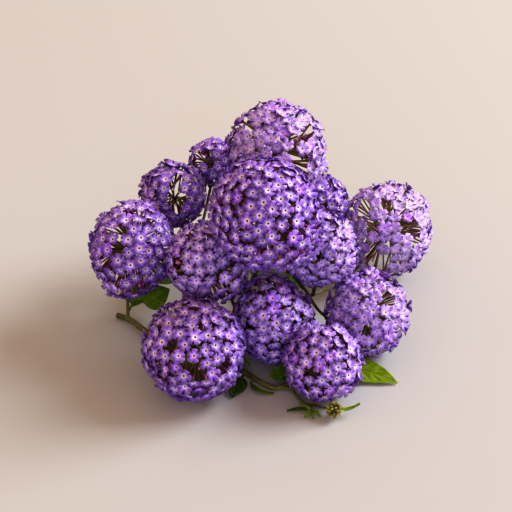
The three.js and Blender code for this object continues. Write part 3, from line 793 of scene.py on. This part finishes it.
# %% Stem
STEM_HEIGHT = 1.15
FORK_LEFT, FORK_LOW, FORK_HIGH = (-30, 41, 14), (-7, 29, 10), (2, 41, 30)
FORK_BACK, FORK_RIGHT, TIP = (24, 39, 14), (25, 8, 3), (21.8, -15.6, 1.8)
BUD_TWIG_END = (27.3, -19.2, 3.2)
RODS = [  # radius at the foot and at the end, and the points between
    (1.25, 1.1, [CUT_END, (-54.5, 39, 1.2), (-46, 30.6, STEM_HEIGHT), (-26, 17, STEM_HEIGHT),
                 (-5.2, 4.9, STEM_HEIGHT), (0, 0, STEM_HEIGHT), (4, -3.4, STEM_HEIGHT),
                 (7.5, -5.1, STEM_HEIGHT), (11, -4.2, 1.2), (16, 0.5, 1.5), FORK_RIGHT]),
    (1.1, 0.95, [(-19, 13, 1.4), (-12, 20, 4), FORK_LOW, (-3, 35, 20), FORK_HIGH]),
    (1.1, 0.95, [(-34, 22.3, 1.4), (-31, 30, 6), FORK_LEFT]),
    (1.0, 0.9, [FORK_LOW, (8, 35.5, 9), FORK_BACK]),
    (0.75, 0.55, [(8, -5.2, 1.4), (13.4, -6.2, 1.4), (16.2, -10.8, 1.3), (19.3, -14.4, 1.3),
                  TIP, BUD_TWIG_END]),
]
STALKS = {
    "top": [FORK_HIGH, (3, 33, 43)],
    "top_back": [FORK_HIGH, (4, 51, 42)],
    "front_left": [(-27, 17.6, 1.6), (-25, 13.5, 7)],
    "front_middle": [FORK_RIGHT, (20, 11, 8)],
    "front_right": [FORK_RIGHT, (26, 8, 6)],
    "right": [FORK_HIGH, (12, 36, 29), (19.5, 30, 24), (27, 24, 15.5)],
    "back_right": [FORK_BACK, (35, 54, 9)],
    "middle_right": [FORK_BACK, (25, 37, 22)],
    "middle_left": [FORK_LOW, (-11, 31, 20)],
    "left": [(-54.3, 38.8, 1.4), (-54.2, 40, 8), (-53.2, 40.4, 16)],
    "back_left": [FORK_LEFT, (-30, 53, 24)],
    "back": [FORK_LEFT, (-25, 59, 26)],
    "back_middle": [FORK_BACK, (25, 53, 17)],
}
STALK_RADII = (0.8, 0.62)
STALK_STRAIGHT, STALK_END = 0.6, 0.5
STEM_VOXEL = 0.3 * MM
RAY_RADII = (0.26, 0.2)


def rod(foot_radius, end_radius, points):
    """A round rod along a smooth curve through some points in mm, closed at both ends."""
    bpy.ops.curve.primitive_bezier_curve_add()
    curve = bpy.context.object
    spline = curve.data.splines[0]
    spline.bezier_points.add(len(points) - 2)
    for i, knot in enumerate(spline.bezier_points):
        knot.co = Vector(points[i]) * MM
        knot.radius = foot_radius + (end_radius - foot_radius) * i / (len(points) - 1)
        knot.handle_left_type = "AUTO"
        knot.handle_right_type = "AUTO"
    curve.data.bevel_depth = MM
    curve.data.bevel_resolution = 3
    curve.data.resolution_u = 8
    curve.data.use_fill_caps = True
    bpy.ops.object.convert(target="MESH")
    return bpy.context.object


def stalk_of(name):
    """The stalk of one head, which ends straight at the head's hub."""
    head = HEADS[name]
    axis = Vector(head.faces).normalized()
    bend = Vector(head.centre) - axis * head.radius * STALK_STRAIGHT
    hub = Vector(head.centre) - axis * head.radius * HUB_SHARE * STALK_END
    return rod(*STALK_RADII, [*STALKS[name], bend, hub])


def apply_modifier(piece, kind, **settings):
    """Puts a modifier on a piece and applies it."""
    modifier = piece.modifiers.new(kind.lower(), kind)
    for name, value in settings.items():
        setattr(modifier, name, value)
    bpy.context.view_layer.objects.active = piece
    bpy.ops.object.modifier_apply(modifier=modifier.name)


bpy.ops.object.select_all(action="DESELECT")
stem = joined("stem_skin", [rod(*one) for one in RODS] + [stalk_of(name) for name in HEADS])
apply_modifier(stem, "REMESH", mode="VOXEL", voxel_size=STEM_VOXEL, use_smooth_shade=True)
apply_modifier(stem, "SMOOTH", factor=0.5, iterations=4)
stem.select_set(True)
bpy.ops.object.mode_set(mode="EDIT")
bpy.ops.mesh.select_all(action="SELECT")
bpy.ops.mesh.bisect(plane_co=(0, 0, 0), plane_no=(0, 0, 1), use_fill=True, clear_inner=True)
bpy.ops.object.mode_set(mode="OBJECT")
stem.select_set(False)
stem.data.materials.clear()
stem.data.materials.append(stem_finish)
ray = stack("ray", stem_finish, [(6, RAY_RADII[0], 0.0), (6, RAY_RADII[1], 1.0)])
ray_copies = [placed_copy(ray, pointing(end - start, start, (1, 1, (end - start).length)))
              for start, end in rays]
print("stem:", count_triangles(stem), "triangles, rays:", len(ray_copies))

# %% [markdown]
# Stems, young buds and leaves are covered with short stiff hairs, which give their edges a soft look.
# Blender's own hair is finer, but it isn't part of a mesh. So a hair is a thin three-sided cone, and its
# copies grow from random faces of a piece and lean a little.

# %% Hairs
HAIR_LENGTH, HAIR_RADIUS = 0.6, 0.035
HAIR_MIDDLE = 0.45  # as a share of the length, so that the foot is sunk into the skin
HAIR_LEAN = 0.35
HAIR_STRETCHES = (0.6, 1.2)
STEM_HAIRS = 3600
bpy.ops.mesh.primitive_cone_add(vertices=3, radius1=HAIR_RADIUS * MM, radius2=0, depth=HAIR_LENGTH * MM,
                                location=(0, 0, HAIR_MIDDLE * HAIR_LENGTH * MM))
hair = bpy.context.object
hair.name = "hair"
bpy.ops.object.transform_apply(location=True)
hair.data.materials.append(hair_finish)
hair.select_set(False)


def hairs_on(piece, count, least_height=0.3):
    """Copies of the hair on random faces of a piece, above a height in mm. No tip is below the table."""
    faces = [face for face in piece.data.polygons if face.center.z > least_height * MM]
    grown = []
    for face in chance.choices(faces, weights=[face.area for face in faces], k=count):
        way = face.normal + some_way(HAIR_LEAN)
        stretch = chance.uniform(*HAIR_STRETCHES)
        tip_height = face.center.z / MM + way.normalized().z * HAIR_LENGTH * stretch
        if tip_height > 0:
            grown.append(placed_copy(hair, pointing(way, face.center / MM, (1, 1, stretch))))
    return grown


whole_stem = joined("grown_stem", [stem, *hairs_on(stem, STEM_HAIRS), *ray_copies])
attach(whole_stem, "root")
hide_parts("stem")
print("grown stem:", count_triangles(whole_stem), "triangles")

# %% [markdown]
# Leaves are oval and soft, with a short stalk, a sunken midrib and side veins that curve towards the tip.
# The blade swells between the veins. A bent outline could make the leaf, but not its veins. So each leaf
# starts as a flat grid, is laid along its curved midrib, and gets its thickness from the Solidify modifier.
# Its own flat plan, its UV map, carries the colour of the veins.

# %% Leaf finishes
LEAF_MAP = "UVMap"
SIDE_VEINS = 8
VEIN_SWEEP = 1.7
RIB_SLOPE = 2.4
MOTTLE_SIZE, PORE_SIZE = 3.125 * MM, 0.3846 * MM


def leaf_finish_of(name, stops, vein_colour, vein_share, roughness, sheen):
    """A leaf skin: mottled tissue, with veins of another colour, and a tone per leaf that makes it darker
    and browner; on leaves that lie in shadow this is painted shade.
    """
    material, tree, shader = new_material(name, {
        "Roughness": roughness, "Specular IOR Level": 0.15, "Sheen Weight": sheen, "Subsurface Weight": 0.45,
        "Subsurface Radius": (0.9, 1.2, 0.3), "Subsurface Scale": 0.6 * MM})
    place = add_node(tree, "TexCoord", out="Object")
    plan = add_node(tree, "UVMap", uv_map=LEAF_MAP)
    split = add_node(tree, "SeparateXYZ", {0: plan}).node.outputs
    side = add_node(tree, "Math", {0: split["X"], 1: 0.5}, operation="SUBTRACT")
    out = add_node(tree, "Math", {0: side}, operation="ABSOLUTE")
    along = add_node(tree, "Math", {0: split["Y"], 1: SIDE_VEINS}, operation="MULTIPLY")
    step = add_node(tree, "Math", {0: out, 1: -2 * VEIN_SWEEP, 2: along}, operation="MULTIPLY_ADD")
    off_vein = add_node(tree, "Math", {0: step, 1: 0.5}, operation="PINGPONG")
    off_rib = add_node(tree, "Math", {0: out, 1: RIB_SLOPE}, operation="MULTIPLY")
    off_line = add_node(tree, "Math", {0: off_vein, 1: off_rib}, operation="MINIMUM")
    on_vein = add_node(tree, "MapRange", {"Value": off_line, "From Min": 0.14, "From Max": 0.04,
                                          "To Max": vein_share})
    mottle = add_node(tree, "TexNoise", {"Vector": place, "Scale": 1 / MOTTLE_SIZE, "Detail": 5})
    tissue = add_node(tree, "ValToRGB", {"Fac": mottle}, stops=stops)
    veined = add_node(tree, "Mix", {0: on_vein, 6: tissue, 7: linear(vein_colour)}, out=2, data_type="RGBA")
    # Painted shade: a low tone makes a leaf darker and browner, and the leaves that lie in shadow have low
    # tones
    tone = add_node(tree, "Attribute", out="Fac", attribute_name=TONE)
    light = add_node(tree, "MapRange", {"Value": tone, "To Min": 0.35, "To Max": 1.55})
    warmth = add_node(tree, "MapRange", {"Value": tone, "To Min": 0.515, "To Max": 0.475})
    shaded = add_node(tree, "HueSaturation", {"Hue": warmth, "Value": light, "Color": veined})
    tree.links.new(shaded, shader.inputs["Base Color"])
    pores = add_node(tree, "TexNoise", {"Vector": place, "Scale": 1 / PORE_SIZE, "Detail": 2})
    relief = add_node(tree, "Bump", {"Height": pores, "Strength": 0.4, "Distance": 0.1 * MM})
    tree.links.new(relief, shader.inputs["Normal"])
    return material


# Leaf blade: rough living tissue above, and a paler, felted skin with raised veins below
leaf_top = leaf_finish_of("rough_green_leaf", [(0.3, "#43600a"), (0.5, "#567410"), (0.7, "#6a8614")],
                          "#748c22", 0.3, 0.5, 0.0)
leaf_under = leaf_finish_of("pale_leaf_underside", [(0.3, "#7e9058"), (0.5, "#8d9e68"), (0.7, "#9aa878")],
                            "#b4ba8c", 0.8, 0.65, 0.3)
print("finishes:", leaf_top.name, leaf_under.name)

# %% Leaves
LEAF_WAVES, LEFT_EDGE_PHASE = 2.5, 1.3
LEAF_TROUGH = 0.12
LEAF_BELLY, LEAF_FULLNESS = 0.75, 0.85
RELIEF_SLOPE, RELIEF_MIDDLE, RELIEF_SHARE = 2.2, 0.6, 0.09
LEAF_ROWS, LEAF_COLUMNS = 64, 24
LEAF_THICKNESS = 0.42
LEAF_HAIRS_PER_MM = 5
# The tone is partly painted shade: it is low for the leaves that lie in shadow, such as the front left and
# the back leaf
LEAVES = {  # base, middle and tip of the midrib; half width; way up; wave; share of the stalk; tone
    "leaf_right": ((27.6, 6, 3.2), (42, 3.4, 3.1), (56, -1.9, 0.9),
                   5.4, (0.1, -0.4, 0.9), 0.45, 0.14, 0.9),
    "leaf_front_middle": ((15.2, 0.2, 3.7), (9.5, -1.8, 5.6), (5, -3.6, 5.4),
                          3, (0.2, -0.8, 0.6), 0.25, 0.1, 0.3),
    "leaf_front_left": ((-5.2, 1.8, 1.6), (-7.4, -4.3, 2), (-9.6, -10.4, 0.9),
                        3.8, (0.2, -0.1, 1), 0.25, 0.1, 0.05),
    "leaf_narrow": ((-2, -1.4, 1.4), (0.6, -6.6, 1.5), (7, -7.9, 0.9),
                    1.3, (0.2, 0.1, 1), 0.1, 0.1, 0.3),
    "leaf_small": ((-9.8, 19.6, 5.8), (-9.4, 11.6, 7), (-2.2, 4, 5.4),
                   2.4, (0.3, -0.4, 0.9), 0.2, 0.2, 0.5),
    "leaf_left_low": ((-52.7, 40, 7), (-44.5, 41, 10.5), (-36.5, 43.5, 13.5),
                      5.6, (0.1, -0.85, 0.5), 0.45, 0.3, 0.6),
    "leaf_left_high": ((-53.8, 40.9, 4), (-50.5, 43.5, 10.5), (-46, 45, 17),
                       3.8, (0.3, -0.8, 0.5), 0.3, 0.2, 0.7),
    "leaf_left_fork": ((-32.3, 41.3, 15.4), (-38, 46, 18), (-44, 48.5, 16),
                       4.2, (0, -0.4, 0.9), 0.3, 0.2, 0.7),
    "leaf_back": ((22, 40.4, 14), (9, 57, 11), (-4, 75, 1),
                  8.5, (0.1, 0, 1), 0.7, 0.14, 0.15),
    "leaf_back_left": ((-29.7, 43.2, 13.2), (-36, 60, 12), (-47, 77, 1),
                       8, (0, 0.1, 1), 0.7, 0.14, 0.5),
}


def leaf_outline(along, stalk):
    """Half width along a leaf over its greatest: a short stalk, an oval blade and a drawn-out tip."""
    if along < stalk:
        return 0.0
    t = (along - stalk) / (1 - stalk)
    return max(0.0, math.sin(math.pi * t ** LEAF_BELLY)) ** LEAF_FULLNESS


def leaf_relief(share, along):
    """How far the blade stands up between its veins, from 0 on a vein to 1."""
    step = along * SIDE_VEINS - abs(share) * VEIN_SWEEP
    off_vein = abs(step - round(step)) * 2
    return min(1.0, RELIEF_SLOPE * min(off_vein, RIB_SLOPE * abs(share)))


def leaf_blade(name, base, middle, tip, half, up, wave, stalk, tone, rows=LEAF_ROWS, columns=LEAF_COLUMNS):
    """A leaf or bract with its thickness, laid along a curved midrib in mm."""
    base, middle, tip, up = Vector(base), Vector(middle), Vector(tip), Vector(up)
    control = 2 * middle - (base + tip) / 2
    bpy.ops.mesh.primitive_grid_add(x_subdivisions=columns, y_subdivisions=rows, size=2)
    piece = bpy.context.object
    piece.name = name
    for corner in piece.data.vertices:
        share, along = corner.co.x, (corner.co.y + 1) / 2
        ahead = ((1 - along) * (control - base) + along * (tip - control)).normalized()
        side = ahead.cross(up).normalized()
        normal = side.cross(ahead)
        outline = max(LEAF_THICKNESS / half, leaf_outline(along, stalk))
        phase = LEFT_EDGE_PHASE if share <= 0 else 0
        ripple = wave * abs(share) * math.sin(math.tau * LEAF_WAVES * along + phase)
        swell = RELIEF_SHARE * half * (leaf_relief(share, along) - RELIEF_MIDDLE) * (1 - abs(share) ** 3)
        lift = (ripple + half * LEAF_TROUGH * share ** 2 + swell) * outline
        point = (1 - along) ** 2 * base + 2 * along * (1 - along) * control + along ** 2 * tip
        corner.co = (point + side * share * half * outline + normal * lift) * MM
    piece.data.materials.append(leaf_top)
    piece.data.materials.append(leaf_under)
    apply_modifier(piece, "SOLIDIFY", thickness=LEAF_THICKNESS * MM, offset=0, material_offset=1)
    write_number(piece, TONE, tone)
    bpy.ops.object.shade_smooth()
    piece.select_set(False)
    return piece


for name, shape in LEAVES.items():
    base, tip = Vector(shape[0]), Vector(shape[2])
    blade = leaf_blade(name + "_blade", *shape)
    leaf_hairs = hairs_on(blade, round(LEAF_HAIRS_PER_MM * (tip - base).length))
    whole = joined(name + "_grown", [blade, *leaf_hairs])
    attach(whole, "root")
    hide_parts(name)
    print(name, count_triangles(whole), "triangles")

# %% [markdown]
# At the front end of the stem a tuft of narrow green blades opens beside a cluster of young buds. The
# blades could be plain spikes, but a narrow leaf has their thin edge already. A small knob joins them to
# the stem.

# %% Tip bracts
BRACT_ROOT = (21.4, -17.5, 1.3)
BRACTS = [  # end, half width, how far the middle rises over the straight line, and tone
    ((11.9, -18, 0.9), 0.9, 0.6, 0.15), ((18.6, -21.8, 0.8), 0.8, 0.6, 0.6),
    ((21.8, -22.4, 0.9), 0.8, 0.6, 0.45), ((24.6, -21.4, 1.0), 0.7, 0.6, 0.7),
    ((19.3, -19.4, 3.9), 0.6, 0.4, 0.8), ((22.6, -20.2, 3.4), 0.6, 0.5, 0.5),
    ((16.8, -16.0, 2.6), 0.5, 0.5, 0.6)]
BRACT_STALK = 0.1
BRACT_ROWS, BRACT_COLUMNS = 24, 8
BRACT_HAIRS = 30
KNOB_HOOPS = [(8, 0.45, -0.9), (8, 0.85, -0.4), (8, 0.9, 0.3), (8, 0.5, 0.9)]
KNOB_FACES = (1, 0, 0.2)


def narrow_blade(root, end, half, rise, tone):
    """One narrow bract from a root to its end."""
    middle = (Vector(root) + Vector(end)) / 2 + Vector((0, 0, rise))
    return leaf_blade("bract", root, middle, end, half, up=(0, 0, 1), wave=0, stalk=BRACT_STALK, tone=tone,
                      rows=BRACT_ROWS, columns=BRACT_COLUMNS)


knob_template = stack("knob", stem_finish, KNOB_HOOPS)
blades = [narrow_blade(BRACT_ROOT, *bract) for bract in BRACTS]
tuft_hairs = [one for blade in blades for one in hairs_on(blade, BRACT_HAIRS)]
knob = placed_copy(knob_template, pointing(KNOB_FACES, BRACT_ROOT))
tuft = joined("tip_bracts_grown", [*blades, knob, *tuft_hairs])
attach(tuft, "root")
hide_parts("tip_bracts")
bpy.data.objects.remove(knob_template)
print("tuft:", count_triangles(tuft), "triangles")

# %% [markdown]
# The young buds are small hairy drops, yellow-green, with a single narrow bract beside them. A bumpy ball
# could stand for them, but its outline would stay round. So each bud is a copy of one drop on a short ray.

# %% Young buds
BUD_CENTRE = (30, -20.8, 4.3)
BUD_COUNT = 42
BUD_HEIGHTS, BUD_LEAN, BUD_SIZES = (1.0, 1.9), 0.2, (0.75, 1.05)
BUD_BRACT = ((39.7, -18.8, 5.4), 0.8, -1.4, 0.75)
BUD_RAY, TWIG_RAY = (0.8, 0.8, 2), (1.3, 1.3, 3.2)
BUD_HAIRS = 700
YOUNG_BUD_HOOPS = [(6, 0.26, 0.0), (6, 0.5, 0.45), (6, 0.6, 1.1), (6, 0.42, 1.8), (6, 0.1, 2.4)]
# Closed sepals: yellow-green, browner at the foot
young_finish = along_tube("yellow_green_sepal", [(0.0, "#4a4420"), (0.45, "#6e6c34"), (1.0, "#9a9458")], 0.6)
young_bud = stack("young_bud", young_finish, YOUNG_BUD_HOOPS)
cluster = []
toward_twig = (Vector(BUD_TWIG_END) - Vector(BUD_CENTRE)).normalized()
for direction in even_directions(-toward_twig, BUD_COUNT):
    foot = Vector(BUD_CENTRE) + direction * chance.uniform(*BUD_HEIGHTS)
    way = direction + some_way(BUD_LEAN)
    size = chance.uniform(*BUD_SIZES)
    cluster.append(placed_copy(young_bud, pointing(way, foot, (size,) * 3), chance.random()))
    cluster.append(placed_copy(ray, pointing(foot - Vector(BUD_CENTRE), BUD_CENTRE, BUD_RAY)))
cluster.append(placed_copy(ray, pointing(-toward_twig, BUD_TWIG_END, TWIG_RAY)))
cluster.append(narrow_blade(BUD_CENTRE, *BUD_BRACT))
bare_buds = joined("bare_buds", cluster)
buds = joined("young_bud_cluster", [bare_buds, *hairs_on(bare_buds, BUD_HAIRS)])
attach(buds, "root")
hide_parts("bud_cluster")
for template in [tube, ray, hair, young_bud]:
    bpy.data.objects.remove(template)
print("buds:", count_triangles(buds), "triangles")

# %% [markdown]
# The box of the dressed part is written beside the box of the solids, so that the two can be compared.

# %% Size
size = {"cad_box": cad_box, "visual_box": [list(corner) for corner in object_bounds()]}
print("size in mm", {k: [[round(x / MM, 1) for x in c] for c in v] for k, v in size.items()})
